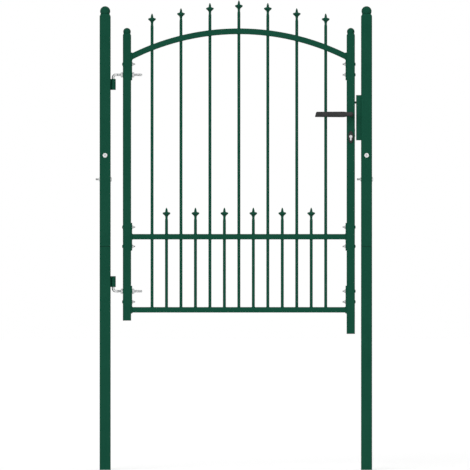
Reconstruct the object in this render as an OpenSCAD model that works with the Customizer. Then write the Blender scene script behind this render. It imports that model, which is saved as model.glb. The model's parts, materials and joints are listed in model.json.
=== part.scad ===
// Garden fence gate: a single arched leaf of round bars between two square posts.
// +X runs from the hinge post to the latch post, +Y to the back and +Z up.
// The origin is the middle of the hinge post's foot. All lengths are in millimetres.

/* [Posts] */
// Distance between the axes of the two posts
post_spacing = 960; // [800:5:1300]
// Side of the square post tube
post_side = 40; // [32:1:60]
// Wall of the post tube
post_wall = 1.5; // [1:0.1:3]
// Outer corner radius of the post tube
post_corner = 3; // [2:0.5:6]
// Height of the post tube over the upper hook
post_over = 215.3; // [160:0.1:300]
// Height of the joint between the lower and the upper post section
post_joint = 820; // [740:1:900]
// Length of the spigot that rises inside the upper section
spigot_length = 370; // [340:5:420]
// Length of the spigot that is welded inside the lower section
spigot_root = 80; // [40:5:150]
// Wall of the spigot tube
spigot_wall = 2; // [1:0.1:3]
// Outer corner radius of the spigot tube
spigot_corner = 3; // [2:0.5:5]
// Height of the seam that shows between the lower and the upper section
post_seam = 1.2; // [0.6:0.1:3]
// Depth of that seam
post_seam_depth = 1; // [0.5:0.1:1.2]
// Height over the joint of the bolt that crosses the posts from front to back
front_bolt_rise = 335.5; // [300:0.5:350]
// Height over the joint of the bolt that crosses the posts from side to side
side_bolt_rise = 247; // [180:0.5:280]
// Diameter of the bolt holes in the posts
post_bolt_hole = 8.6; // [6.6:0.1:10.5]

/* [Ball caps] */
// Diameter of the ball on a post
post_ball = 37.4; // [30:0.2:45]
// Height of the ball's middle over the end of a post
post_ball_rise = 18; // [14:0.5:24]
// Height of the bevelled collar under the ball of a post
post_collar = 8; // [5:0.5:12]
// Side of that collar at its upper end
post_collar_top = 32; // [26:0.5:36]
// Diameter of the ball on a stile
stile_ball = 28; // [22:0.2:34]
// Height of the ball's middle over the end of a stile
stile_ball_rise = 13; // [10:0.5:18]
// Height of the bevelled collar under the ball of a stile
stile_collar = 7; // [4:0.5:10]
// Side of that collar at its upper end
stile_collar_top = 24; // [19:0.5:27]
// Depth to which a cap or a plug reaches into its tube
plug_depth = 22; // [12:1:30]
// Thickness of the plugs under the stiles
plug_lip = 1.5; // [1:0.5:5]

/* [Leaf frame] */
// Clear gap between the hinge post and the leaf
hinge_gap = 45.2; // [40:0.1:60]
// Clear gap between the leaf and the strike
lock_gap = 5; // [4:0.1:10]
// Side of the square stile tube
stile_side = 30; // [26:1:40]
// Wall of the stile tube
stile_wall = 1.5; // [1:0.1:2.5]
// Outer corner radius of the stile tube
stile_corner = 3; // [2:0.5:5]
// Height of the stile tubes over the top plates
stile_over = 63.3; // [40:0.1:90]
// Depth of the hinge stile's lower end below the bottom rail
hinge_stile_drop = 38; // [25:0.1:60]
// Depth of the lock stile's lower end below the bottom rail
lock_stile_drop = 86.7; // [25:0.1:120]
// Side of the square rail tube
rail_side = 20; // [18:0.5:23]
// Side of the square tube of the arch
arch_side = 21; // [18:0.5:23]
// Wall of the rail and arch tubes
rail_wall = 1.5; // [1:0.1:2.5]
// Outer corner radius of the rail and arch tubes
rail_corner = 2; // [1:0.5:4]
// Height of the middle rail over the bottom rail
middle_rail_rise = 268.4; // [220:0.1:320]
// Distance of the bottom rail from the lower end of its plates
rail_inset = 13.6; // [12:0.1:20]
// Distance of the arch's ends from the upper end of their plates
arch_inset = 14.1; // [14:0.1:20]
// Rise of the arch between the end plates
arch_rise = 91.9; // [70:0.1:120]

/* [Bars] */
// Diameter of the bars
bar_d = 11; // [9:0.2:13]
// Clearance all round a bar in its holes
bar_clear = 0.15; // [0.1:0.05:0.5]
// Space between the end plates and the outermost bars
bar_end_space = 73; // [50:1:110]
// Height of the middle bar's tip over the arch
tall_rise = 113.5; // [80:0.1:150]
// Drop of the tips from one tall bar to the next
tip_step = 19.4; // [10:0.1:26]
// Height of the short bars' tips over the middle rail
short_rise = 106.5; // [70:0.5:160]
// Length of the turned finial
finial_length = 47; // [36:0.5:60]
// Diameter of the finial's disc
finial_disc = 28.6; // [22:0.2:34]
// Radius of the round rim of the disc
finial_rim = 3.5; // [2:0.1:5]
// Diameter of the spike where it meets the disc
finial_spike = 10; // [6:0.1:12]
// Diameter of the neck under the disc
finial_neck = 8.8; // [6:0.1:10]

/* [End plates] */
// Height of the plates that join rails to stiles
plate_height = 102; // [96:1:120]
// Width of the plates
plate_width = 25; // [23:0.5:30]
// Thickness of the plates
plate_t = 4; // [3:0.1:6]
// Corner radius of the plates
plate_corner = 4; // [2:0.5:8]
// Distance of the hook's hole from the free end of a plate
hook_inset = 20; // [16:0.5:26]
// Distance of the bolt's hole from the free end of a plate
bolt_inset = 59; // [50:0.5:64]
// Distance between the two bolts of a middle plate
middle_bolt_spacing = 71; // [60:0.5:80]
// Diameter of the bolt holes in plates and stiles
bolt_hole = 6.6; // [5:0.1:8]

/* [Hinges] */
// Height of the lower hook's rod over the foot of the posts
lower_hook_z = 656; // [600:0.1:720]
// Distance from the lower hook's rod to the upper one's
hook_spacing = 794.7; // [700:0.1:900]
// Diameter of the hooks
hook_d = 10; // [8:0.2:12]
// Length of a hook's thread past its inner nut
hook_tail = 28.8; // [10:0.1:40]
// Radius of the bend along its middle
hook_bend = 10; // [8:0.5:14]
// Outer diameter of the hinge barrels
barrel_d = 19; // [17:0.2:26]
// Length of the hinge barrels
barrel_length = 40; // [30:1:60]
// Distance from the rod's middle to the near end of the barrel
barrel_drop = 15.3; // [12:0.1:20]
// Clearance all round the pin in its barrel
pin_clear = 0.2; // [0.1:0.05:0.5]
// Distance from the pin's end to the far end of the barrel
pin_short = 2; // [1:0.5:6]
// Width of the seat by which a barrel is welded to the post
barrel_seat = 9; // [6:0.5:14]
// Width of the nuts on the hooks across their flats
nut_flats = 17; // [13:0.5:19]
// Thickness of the nuts on the hooks
nut_t = 8; // [6:0.5:10]
// Clearance all round the hooks in the frame
hook_clear = 0.4; // [0.2:0.05:1]
// Clearance all round the hooks in their nuts
thread_clear = 0.05; // [0.02:0.01:0.2]

/* [Lock] */
// Distance of the lever's axis below the upper hook
spindle_drop = 145.4; // [130:0.1:180]
// Distance of the lock cylinder below the lever's axis
cylinder_drop = 82; // [72:0.5:92]
// Distance of the latch above the lever's axis
latch_rise = 43.7; // [30:0.1:52]
// Distance of the dead bolt below the lever's axis
dead_bolt_drop = 68; // [60:0.5:76]
// Width of the lock's face plate
face_width = 20; // [16:0.5:22]
// Length of the face plate past the latch and past the dead bolt
face_margin = 18; // [14:0.5:26]
// Depth of the lock case from the outer face of the stile
case_depth = 26.5; // [24:0.5:27]
// Wall of the lock case
case_wall = 2; // [1:0.1:3]
// Height of the latch tongue
latch_height = 8; // [6:0.5:14]
// Width of the latch tongue
latch_width = 12; // [8:0.5:14]
// Length of the latch tongue
latch_length = 16; // [12:0.5:18]
// Distance that the latch stands proud of the leaf
latch_throw = 4.7; // [3:0.1:8]
// Clearance all round the latch tongue
latch_clear = 0.4; // [0.3:0.05:0.8]
// Height of the dead bolt
dead_bolt_height = 34; // [24:0.5:36]
// Width of the dead bolt
dead_bolt_width = 10; // [6:0.5:14]
// Distance that the drawn dead bolt stands proud of the leaf
dead_bolt_proud = 1; // [0.5:0.1:3]
// Side of the square spindle
spindle_side = 7; // [6:0.5:8]
// Clearance all round the turning spindle
spindle_clear = 0.5; // [0.3:0.05:1]
// Diameter of the round part of the lock cylinder
cylinder_d = 12; // [10:0.5:17]
// Overall height of the lock cylinder's profile
cylinder_height = 20.5; // [18:0.5:33]
// Width of the lock cylinder's tongue
cylinder_tongue = 6; // [5:0.5:9]
// Clearance round the round parts of the lock cylinder
cylinder_clear = 0.3; // [0.1:0.05:0.6]
// Distance that the lock cylinder stands proud of its escutcheon
cylinder_proud = 1.5; // [1:0.5:4]
// Width of the oval escutcheon
escutcheon_width = 20; // [18:0.5:28]
// Height of the oval escutcheon
escutcheon_height = 45; // [38:0.5:60]
// Radius of the tight ends of the oval
escutcheon_end = 5.5; // [4:0.5:8]
// Distance from the middle of the lock cylinder's profile up to the middle of the escutcheon
escutcheon_rise = 2.5; // [0:0.5:4]
// Thickness of the oval escutcheon
escutcheon_t = 5; // [3:0.5:9]

/* [Levers] */
// Reach of a lever from its axis to its tip
lever_reach = 132; // [110:1:140]
// Height of a lever's grip
lever_height = 18.2; // [15:0.1:22]
// Height of a lever at its axis
lever_hub = 13.4; // [13:0.1:20]
// Distance from the axis at which the grip has its full height
lever_shoulder = 30; // [20:1:60]
// Thickness of a lever
lever_t = 12; // [10:0.5:16]
// Radius along the edges of a lever
lever_edge = 4.5; // [2:0.5:5.5]
// Length by which the upper edge of a lever is cut back at its tip
lever_slant = 5.5; // [1:0.5:12]
// Corner radius of the tip of a lever
lever_tip = 2.5; // [1:0.5:5]
// Distance from the leaf to the inner side of a lever
lever_stand = 34; // [28:0.5:45]
// Diameter of a lever's neck
neck_d = 12.5; // [11.5:0.5:15]
// Diameter of the collar at the foot of the neck
collar_d = 18.5; // [16:0.5:22]
// Thickness of that collar
collar_t = 3; // [2:0.5:6]
// Gap between that collar and the leaf
neck_gap = 0.6; // [0.4:0.1:1.5]

/* [Strike] */
// Width of the strike from the post to its face
strike_width = 18; // [14:0.5:26]
// Depth of the strike from front to back
strike_depth = 30; // [26:0.5:34]
// Length of the strike over the middle of the latch
strike_over = 27; // [20:0.1:40]
// Length of the strike under the middle of the dead bolt
strike_under = 27; // [24:0.1:40]
// Thickness of the strike's sheet
strike_t = 2.5; // [2:0.1:4]
// Outer radius of the strike's bends
strike_bend = 4; // [3:0.1:6]
// Clearance all round the bolts in the strike's slots
slot_clear = 3; // [2:0.1:5]

/* [Hidden] */
$fn = 64;
green = [0.10, 0.29, 0.23];
zinc = [0.74, 0.75, 0.76];
black = [0.17, 0.17, 0.18];
// Overrun of every cut, clearance of the spigots and clearance of the plugs
cut = 1;
spigot_clear = 0.3;
plug_clear = 0.25;
// Shares of the finial's length, down from the tip, at which its outline turns
spike_waist_share = 0.15;
spike_foot_share = 0.315;
rim_share = 0.435;
disc_foot_share = 0.64;
neck_share = 0.8;
// Shares of the spike's diameter at its blunt tip and at its waist, and of the neck's at the disc's foot
spike_tip_share = 0.27;
spike_waist_d_share = 0.78;
disc_foot_d_share = 1.25;
// Angle below the level at which the disc's lower side leaves its rim
rim_angle = 50;
// Places across the gate, from the hinge post to the latch post
hinge_x = post_side / 2 + barrel_d / 2;
hinge_stile_x = post_side / 2 + hinge_gap + stile_side / 2;
strike_x = post_spacing - post_side / 2 - strike_width;
lock_face_x = strike_x - lock_gap;
lock_stile_x = lock_face_x - stile_side / 2;
leaf_x = (hinge_stile_x + lock_stile_x) / 2;
hinge_plate_x = hinge_stile_x + stile_side / 2;
lock_plate_x = lock_stile_x - stile_side / 2;
rail_left = hinge_plate_x + plate_t;
rail_right = lock_plate_x - plate_t;
rail_length = rail_right - rail_left;
hook_reach = rail_left + nut_t + hook_tail - hinge_x;
// Heights of the end plates, which follow from the hooks, and of what they carry
upper_hook_z = lower_hook_z + hook_spacing;
top_plate_z = upper_hook_z - hook_inset;
bottom_plate_z = lower_hook_z + hook_inset - plate_height;
bottom_rail_z = bottom_plate_z + rail_inset;
middle_rail_z = bottom_rail_z + middle_rail_rise;
middle_plate_z = middle_rail_z - plate_height / 2;
arch_end_z = top_plate_z + plate_height - arch_inset;
top_bolt_z = top_plate_z + bolt_inset;
bottom_bolt_z = bottom_plate_z + plate_height - bolt_inset;
stile_top = top_plate_z + plate_height + stile_over;
hinge_stile_bottom = bottom_rail_z - hinge_stile_drop;
lock_stile_bottom = bottom_rail_z - lock_stile_drop;
post_top = upper_hook_z + post_over;
// Arch: radius of its middle line from the span and the rise
arch_top_z = arch_end_z + arch_rise;
arch_radius = (rail_length * rail_length / 4 + arch_rise * arch_rise) / (2 * arch_rise);
// Bars: seven tall ones, with six short ones midway between them
tall_count = 7;
bar_pitch = (rail_length - 2 * bar_end_space) / (tall_count - 1);
bar_foot_z = bottom_rail_z - rail_side / 2 + rail_wall;
// Heights of the lock and the strike
spindle_z = upper_hook_z - spindle_drop;
latch_z = spindle_z + latch_rise;
dead_bolt_z = spindle_z - dead_bolt_drop;
cylinder_z = spindle_z - cylinder_drop;
face_bottom = dead_bolt_z - dead_bolt_height / 2 - face_margin;
face_top = latch_z + latch_height / 2 + face_margin;
strike_bottom = dead_bolt_z - strike_under;
strike_top = latch_z + strike_over;

function tall_x(i) = leaf_x + (i - (tall_count + 1) / 2) * bar_pitch;
function short_x(i) = leaf_x + (i - tall_count / 2) * bar_pitch;
function steps_out(i) = abs(i - (tall_count + 1) / 2);
function tall_tip(i) = arch_top_z + tall_rise - tip_step * max(0, steps_out(i) - 1 / 2);
tall_places = [for (i = [1 : tall_count]) tall_x(i)];
bar_places = concat(tall_places, [for (i = [1 : tall_count - 1]) short_x(i)]);

// A square about its middle, with round corners where they have a radius
module rounded_square(side, corner) {
    radius = max(0, corner);
    square([side, side - 2 * radius], center = true);
    if (radius > 0) {
        square([side - 2 * radius, side], center = true);
        for (sx = [-1, 1], sy = [-1, 1])
            translate([sx * (side / 2 - radius), sy * (side / 2 - radius)])
                circle(radius);
    }
}

// Section of a square tube
module tube_section(side, corner, wall) {
    difference() {
        rounded_square(side, corner);
        rounded_square(side - 2 * wall, corner - wall);
    }
}

// Holes along X and along Y, about the place where they stand
module hole_x(d, length) {
    rotate([0, 90, 0])
        cylinder(d = d, h = length, center = true);
}

module hole_y(d, length) {
    rotate([90, 0, 0])
        cylinder(d = d, h = length, center = true);
}

// Bolt holes of a post, for its tube and for the spigot inside it
module post_bolt_holes() {
    translate([0, 0, post_joint + front_bolt_rise])
        hole_y(post_bolt_hole, post_side + 2 * cut);
    translate([0, 0, post_joint + side_bolt_rise])
        hole_x(post_bolt_hole, post_side + 2 * cut);
}

// Lower section of a post, with the welded spigot that carries the upper section
module post_lower() {
    spigot_side = post_side - 2 * post_wall - 2 * spigot_clear;
    difference() {
        union() {
            linear_extrude(post_joint - spigot_root)
                tube_section(post_side, post_corner, post_wall);
            translate([0, 0, post_joint - spigot_root])
                linear_extrude(spigot_root)
                    difference() {
                        rounded_square(post_side, post_corner);
                        rounded_square(spigot_side - 2 * spigot_wall, spigot_corner - spigot_wall);
                    }
            translate([0, 0, post_joint])
                linear_extrude(post_seam)
                    difference() {
                        rounded_square(post_side - 2 * post_seam_depth, post_corner - post_seam_depth);
                        rounded_square(spigot_side - 2 * spigot_wall, spigot_corner - spigot_wall);
                    }
            translate([0, 0, post_joint + post_seam])
                linear_extrude(spigot_length)
                    tube_section(spigot_side, spigot_corner, spigot_wall);
        }
        post_bolt_holes();
    }
}

// Upper section of a post, which stands on the ledge round the spigot's foot
module post_upper() {
    difference() {
        translate([0, 0, post_joint + post_seam])
            linear_extrude(post_top - post_joint - post_seam)
                tube_section(post_side, post_corner, post_wall);
        post_bolt_holes();
    }
}

// Collar that tapers on all four sides: two bevelled bars that cross
module bevelled_collar(side, top_side, height) {
    intersection_for(turn = [0, 90])
        rotate([90, 0, turn])
            linear_extrude(side, center = true)
                polygon([[-side / 2, 0], [side / 2, 0], [top_side / 2, height], [-top_side / 2, height]]);
}

// Ball on its collar, over the end of a tube
module ball_cap(side, corner, ball, rise, collar_height, collar_top) {
    intersection() {
        bevelled_collar(side, collar_top, collar_height);
        linear_extrude(collar_height)
            rounded_square(side, corner);
    }
    intersection() {
        translate([0, 0, rise])
            sphere(d = ball);
        translate([-side / 2, -side / 2, 0])
            cube([side, side, rise + ball]);
    }
}

// Square plug below the end of a tube
module tube_plug(side, corner, wall) {
    translate([0, 0, -plug_depth])
        linear_extrude(plug_depth)
            rounded_square(side - 2 * wall - 2 * plug_clear, corner - wall);
}

// Caps of a post and of a stile, each with the plug that holds it in its tube
module post_cap() {
    translate([0, 0, post_top]) {
        ball_cap(post_side, post_corner, post_ball, post_ball_rise, post_collar, post_collar_top);
        tube_plug(post_side, post_corner, post_wall);
    }
}

module stile_cap() {
    translate([0, 0, stile_top]) {
        ball_cap(stile_side, stile_corner, stile_ball, stile_ball_rise, stile_collar, stile_collar_top);
        tube_plug(stile_side, stile_corner, stile_wall);
    }
}

// Hinge barrel on its welded seat, with its lower end at the given height
module hinge_barrel(bottom) {
    seat_length = barrel_d / 2;
    translate([hinge_x, 0, bottom])
        difference() {
            union() {
                cylinder(d = barrel_d, h = barrel_length);
                translate([-seat_length, -barrel_seat / 2, 0])
                    cube([seat_length, barrel_seat, barrel_length]);
            }
            translate([0, 0, -cut])
                cylinder(d = hook_d + 2 * pin_clear, h = barrel_length + 2 * cut);
        }
}

// Outline of a folded channel: two round corners on its left and square ones on its right
module channel_outline(width, depth, bend) {
    radius = max(0, bend);
    translate([radius, -depth / 2])
        square([width - radius, depth]);
    translate([0, radius - depth / 2])
        square([width, depth - 2 * radius]);
    if (radius > 0)
        for (side = [-1, 1])
            translate([radius, side * (depth / 2 - radius)])
                circle(radius);
}

// Slot in the face of the strike, about the middle of the bolt that goes in
module strike_slot(width, height, z) {
    translate([strike_t / 2, 0, z])
        cube([strike_t + 2 * cut, width + 2 * slot_clear, height + 2 * slot_clear], center = true);
}

// Stile tube of the leaf, from the given lower end
module stile(bottom) {
    translate([0, 0, bottom])
        linear_extrude(stile_top - bottom)
            tube_section(stile_side, stile_corner, stile_wall);
}

// Bolt holes of the end plates, all along a stile
module plate_bolt_holes() {
    for (z = [top_bolt_z, bottom_bolt_z])
        translate([0, 0, z])
            hole_x(bolt_hole, 2 * stile_side);
    for (side = [-1, 1])
        translate([0, 0, middle_rail_z + side * middle_bolt_spacing / 2])
            hole_x(bolt_hole, 2 * stile_side);
}

// The outer holes of the top and bottom plates take the hooks or, on the lock side, bolts
module outer_plate_holes(d) {
    for (z = [upper_hook_z, lower_hook_z])
        translate([0, 0, z])
            hole_x(d, 2 * stile_side);
}

// Holes for the bars in a rail, from one height to another
module bar_holes(bottom, top, places) {
    for (x = places)
        translate([x, 0, bottom])
            cylinder(d = bar_d + 2 * bar_clear, h = top - bottom);
}

// Level square tube between the end plates
module rail(z) {
    translate([rail_left, 0, z])
        rotate([90, 0, 90])
            linear_extrude(rail_length)
                tube_section(rail_side, rail_corner, rail_wall);
}

// Bent square tube: its section turned about the arch's centre, then cut upright at both ends
module arch_tube() {
    intersection() {
        translate([leaf_x, 0, arch_top_z - arch_radius])
            rotate([90, 0, 0])
                rotate_extrude($fn = 256)
                    translate([arch_radius, 0])
                        tube_section(arch_side, rail_corner, rail_wall);
        translate([rail_left, -arch_side, arch_end_z - arch_side])
            cube([rail_length, 2 * arch_side, arch_rise + 2 * arch_side]);
    }
}

// Round bar with its turned finial, as one outline about its own axis
module bar(x, tip_z) {
    length = tip_z - bar_foot_z;
    rim_x = finial_disc / 2 - finial_rim;
    rim_z = length - finial_length * rim_share;
    translate([x, 0, bar_foot_z])
        rotate_extrude() {
            polygon([
                [0, 0],
                [bar_d / 2, 0],
                [bar_d / 2, length - finial_length],
                [finial_neck / 2, length - finial_length * neck_share],
                [finial_neck * disc_foot_d_share / 2, length - finial_length * disc_foot_share],
                [rim_x + finial_rim * cos(rim_angle), rim_z - finial_rim * sin(rim_angle)],
                [rim_x, rim_z + finial_rim],
                [finial_spike / 2, length - finial_length * spike_foot_share],
                [finial_spike * spike_waist_d_share / 2, length - finial_length * spike_waist_share],
                [finial_spike * spike_tip_share / 2, length],
                [0, length]
            ]);
            translate([rim_x, rim_z])
                circle(finial_rim);
        }
}

module tall_bar(i) {
    color(green)
        bar(tall_x(i), tall_tip(i));
}

module short_bar(i) {
    color(green)
        bar(short_x(i), middle_rail_z + short_rise);
}

// End plate on the inner side of a stile, with its lower end at the given height
module end_plate(x, bottom) {
    translate([x, 0, bottom + plate_height / 2])
        rotate([90, 0, 90])
            linear_extrude(plate_t) {
                square([plate_width, plate_height - 2 * plate_corner], center = true);
                square([plate_width - 2 * plate_corner, plate_height], center = true);
                for (sx = [-1, 1], sy = [-1, 1])
                    translate([sx * (plate_width / 2 - plate_corner), sy * (plate_height / 2 - plate_corner)])
                        circle(plate_corner);
            }
}

module hinge_plate(bottom) {
    color(green)
        difference() {
            end_plate(hinge_plate_x, bottom);
            translate([hinge_stile_x, 0, 0]) {
                plate_bolt_holes();
                outer_plate_holes(hook_d + 2 * hook_clear);
            }
        }
}

module lock_plate(bottom) {
    color(green)
        difference() {
            end_plate(lock_plate_x - plate_t, bottom);
            translate([lock_stile_x, 0, 0]) {
                plate_bolt_holes();
                outer_plate_holes(bolt_hole);
            }
        }
}

// Hook of a hinge with its pin downwards: a rod through the stile, a bend and the pin
module hinge_hook() {
    pin_length = barrel_drop + barrel_length - pin_short - hook_bend;
    translate([hook_bend, 0, 0])
        rotate([0, 90, 0])
            cylinder(d = hook_d, h = hook_reach - hook_bend);
    translate([hook_bend, 0, -hook_bend])
        rotate([90, 0, 0])
            rotate([0, 0, 90])
                rotate_extrude(angle = 90)
                    translate([hook_bend, 0])
                        circle(d = hook_d);
    translate([0, 0, -hook_bend - pin_length])
        cylinder(d = hook_d, h = pin_length);
}

// Hexagon nut on a hook, with its left face at the given place
module hook_nut(x, z) {
    translate([x, 0, z])
        rotate([90, 0, 90])
            linear_extrude(nut_t)
                difference() {
                    rotate(30)
                        circle(nut_flats / sqrt(3), $fn = 6);
                    circle(d = hook_d + 2 * thread_clear);
                }
}

// Profile of the lock cylinder, a round with a tongue below it, with some room where it is round
module cylinder_profile(room) {
    tongue = cylinder_height - cylinder_d / 2 - cylinder_tongue / 2 + room;
    circle(d = cylinder_d + 2 * room);
    translate([-cylinder_tongue / 2, -tongue])
        square([cylinder_tongue, tongue]);
    translate([0, -tongue])
        circle(d = cylinder_tongue);
}

// Hole through the leaf for the lock cylinder, which fits by the flat sides of its tongue
module cylinder_hole() {
    translate([0, stile_side / 2 + cut, cylinder_z])
        rotate([90, 0, 0])
            linear_extrude(stile_side + 2 * cut)
                cylinder_profile(cylinder_clear);
}

module spindle_hole() {
    translate([0, 0, spindle_z])
        hole_y(spindle_side * sqrt(2) + 2 * spindle_clear, stile_side + 2 * cut);
}

// Oval of four arcs, flat ones along its sides and tight ones at its ends, with no corner between them
module oval(width, height, end) {
    inset = width / 2 - end;
    rise = height / 2 - end;
    shift = (rise * rise - inset * inset) / (2 * inset);
    radius = shift + width / 2;
    intersection() {
        translate([-shift, 0])
            circle(radius, $fn = 128);
        translate([shift, 0])
            circle(radius, $fn = 128);
        square([width, 2 * rise * radius / (radius - end)], center = true);
    }
    for (side = [-1, 1])
        translate([0, side * rise])
            circle(end);
}

// Oval escutcheon round the lock cylinder, on one face of the leaf
module escutcheon() {
    linear_extrude(escutcheon_t)
        difference() {
            translate([0, escutcheon_rise + (cylinder_d - cylinder_height) / 2])
                oval(escutcheon_width, escutcheon_height, escutcheon_end);
            cylinder_profile(cylinder_clear);
        }
}

// Outline of a lever from the front: its hub, a shoulder and a grip whose slanted tip has round corners
module lever_outline() {
    hub = lever_hub / 2;
    half = lever_height / 2;
    tip_angle = atan2(lever_height, lever_slant);
    low_cut = lever_tip / tan(tip_angle / 2);
    high_cut = lever_tip * tan(tip_angle / 2);
    high_x = lever_slant - lever_reach;
    circle(hub);
    polygon([
        [0, -hub],
        [0, hub],
        [-lever_shoulder, half],
        [high_x + high_cut, half],
        [high_x - high_cut * cos(tip_angle), half - high_cut * sin(tip_angle)],
        [low_cut * cos(tip_angle) - lever_reach, low_cut * sin(tip_angle) - half],
        [low_cut - lever_reach, -half],
        [-lever_shoulder, -half]
    ]);
    translate([high_x + high_cut, half - lever_tip])
        circle(lever_tip);
    translate([low_cut - lever_reach, lever_tip - half])
        circle(lever_tip);
}

// Section of a lever: a bar with round edges
module lever_section() {
    translate([-lever_height / 2, -lever_t / 2 + lever_edge])
        square([lever_height, lever_t - 2 * lever_edge]);
    translate([lever_edge - lever_height / 2, -lever_t / 2])
        square([lever_height - 2 * lever_edge, lever_t]);
    for (sx = [-1, 1], sy = [-1, 1])
        translate([sx * (lever_height / 2 - lever_edge), sy * (lever_t / 2 - lever_edge)])
            circle(lever_edge);
}

// Lever on the front of the leaf, with its neck: the outline meets the section
module lever() {
    translate([0, -stile_side / 2 - lever_stand - lever_t / 2, 0])
        intersection() {
            rotate([90, 0, 0])
                linear_extrude(lever_t, center = true)
                    lever_outline();
            translate([lever_hub, 0, 0])
                rotate([0, -90, 0])
                    linear_extrude(lever_reach + lever_hub)
                        lever_section();
        }
    translate([0, -stile_side / 2 - neck_gap, 0])
        rotate([90, 0, 0]) {
            cylinder(d = neck_d, h = lever_stand - neck_gap + lever_t / 2);
            cylinder(d = collar_d, h = collar_t);
        }
}

// Square spindle through the leaf, from the one lever to the other
module spindle() {
    cube([spindle_side, stile_side + 2 * lever_stand, spindle_side], center = true);
}

module hinge_post_lower() {
    color(green)
        post_lower();
}

module hinge_post_upper() {
    color(green)
        post_upper();
}

module hinge_post_cap() {
    color(green)
        post_cap();
}

module latch_post_lower() {
    color(green)
        translate([post_spacing, 0, 0])
            post_lower();
}

module latch_post_upper() {
    color(green)
        translate([post_spacing, 0, 0])
            post_upper();
}

module latch_post_cap() {
    color(green)
        translate([post_spacing, 0, 0])
            post_cap();
}

module upper_hinge_barrel() {
    color(green)
        hinge_barrel(upper_hook_z - barrel_drop - barrel_length);
}

module lower_hinge_barrel() {
    color(green)
        hinge_barrel(lower_hook_z + barrel_drop);
}

// Folded channel on the latch post, with a slot for the latch and one for the dead bolt
module strike_box() {
    inner_depth = strike_depth - 2 * strike_t;
    color(green)
        translate([strike_x, 0, 0])
            difference() {
                translate([0, 0, strike_bottom])
                    linear_extrude(strike_top - strike_bottom)
                        difference() {
                            channel_outline(strike_width, strike_depth, strike_bend);
                            translate([strike_t, 0])
                                channel_outline(strike_width, inner_depth, strike_bend - strike_t);
                        }
                strike_slot(latch_width, latch_height, latch_z);
                strike_slot(dead_bolt_width, dead_bolt_height, dead_bolt_z);
            }
}

module hinge_stile() {
    color(green)
        translate([hinge_stile_x, 0, 0])
            difference() {
                stile(hinge_stile_bottom);
                plate_bolt_holes();
                outer_plate_holes(hook_d + 2 * hook_clear);
            }
}

// The lock stile has a cut-out for the lock's face and holes for the spindle and the cylinder
module lock_stile() {
    color(green)
        translate([lock_stile_x, 0, 0])
            difference() {
                stile(lock_stile_bottom);
                plate_bolt_holes();
                outer_plate_holes(bolt_hole);
                translate([stile_side / 2 - stile_wall - cut, -face_width / 2, face_bottom])
                    cube([stile_wall + 2 * cut, face_width, face_top - face_bottom]);
                spindle_hole();
                cylinder_hole();
            }
}

module hinge_stile_cap() {
    color(green)
        translate([hinge_stile_x, 0, 0])
            stile_cap();
}

module lock_stile_cap() {
    color(green)
        translate([lock_stile_x, 0, 0])
            stile_cap();
}

module stile_plugs() {
    color(black)
        for (end = [[hinge_stile_x, hinge_stile_bottom], [lock_stile_x, lock_stile_bottom]])
            translate([end[0], 0, end[1]])
                mirror([0, 0, 1]) {
                    linear_extrude(plug_lip)
                        rounded_square(stile_side, stile_corner);
                    tube_plug(stile_side, stile_corner, stile_wall);
                }
}

module arch_rail() {
    color(green)
        difference() {
            arch_tube();
            bar_holes(arch_end_z - arch_side, arch_top_z + arch_side, tall_places);
        }
}

module middle_rail() {
    color(green)
        difference() {
            rail(middle_rail_z);
            bar_holes(middle_rail_z - rail_side, middle_rail_z + rail_side, bar_places);
        }
}

// The bars stand on the floor of the bottom rail, so only its upper wall has holes
module bottom_rail() {
    color(green)
        difference() {
            rail(bottom_rail_z);
            bar_holes(bottom_rail_z, bottom_rail_z + rail_side, bar_places);
        }
}

module hinge_top_plate() {
    hinge_plate(top_plate_z);
}

module hinge_middle_plate() {
    hinge_plate(middle_plate_z);
}

module hinge_bottom_plate() {
    hinge_plate(bottom_plate_z);
}

module lock_top_plate() {
    lock_plate(top_plate_z);
}

module lock_middle_plate() {
    lock_plate(middle_plate_z);
}

module lock_bottom_plate() {
    lock_plate(bottom_plate_z);
}

module upper_hinge_hook() {
    color(zinc)
        translate([hinge_x, 0, upper_hook_z])
            hinge_hook();
}

module lower_hinge_hook() {
    color(zinc)
        translate([hinge_x, 0, lower_hook_z])
            mirror([0, 0, 1])
                hinge_hook();
}

// Each hook has a nut on either side of the stile and its plate
module hook_nuts() {
    color(zinc)
        for (z = [upper_hook_z, lower_hook_z]) {
            hook_nut(hinge_stile_x - stile_side / 2 - nut_t, z);
            hook_nut(rail_left, z);
        }
}

// Lock case: a box between the walls of the stile, with a face plate flush in the stile's cut-out
module lock_case() {
    inner = stile_side - 2 * stile_wall;
    box_depth = case_depth - max(stile_wall, stile_corner);
    box_x = stile_side / 2 - case_depth;
    height = face_top - face_bottom;
    latch_slot_width = latch_width + 2 * latch_clear;
    latch_slot_height = latch_height + 2 * latch_clear;
    color(zinc)
        translate([lock_stile_x, 0, 0])
            difference() {
                union() {
                    translate([box_x + case_wall, -face_width / 2, face_bottom])
                        cube([case_depth - case_wall, face_width, height]);
                    translate([box_x, -inner / 2, face_bottom])
                        cube([box_depth, inner, height]);
                }
                translate([box_x + case_wall, case_wall - inner / 2, face_bottom + case_wall])
                    cube([box_depth - 2 * case_wall, inner - 2 * case_wall, height - 2 * case_wall]);
                translate([stile_side / 2, 0, latch_z])
                    cube([stile_side, latch_slot_width, latch_slot_height], center = true);
                translate([stile_side / 2, 0, dead_bolt_z])
                    cube([stile_side, dead_bolt_width, dead_bolt_height], center = true);
                spindle_hole();
                cylinder_hole();
            }
}

// Dead bolt, drawn back until only its end shows
module dead_bolt() {
    length = dead_bolt_proud + max(stile_wall, stile_corner) + case_wall;
    color(zinc)
        translate([lock_face_x - length / 2 + dead_bolt_proud, 0, dead_bolt_z])
            cube([length, dead_bolt_width, dead_bolt_height], center = true);
}

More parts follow.
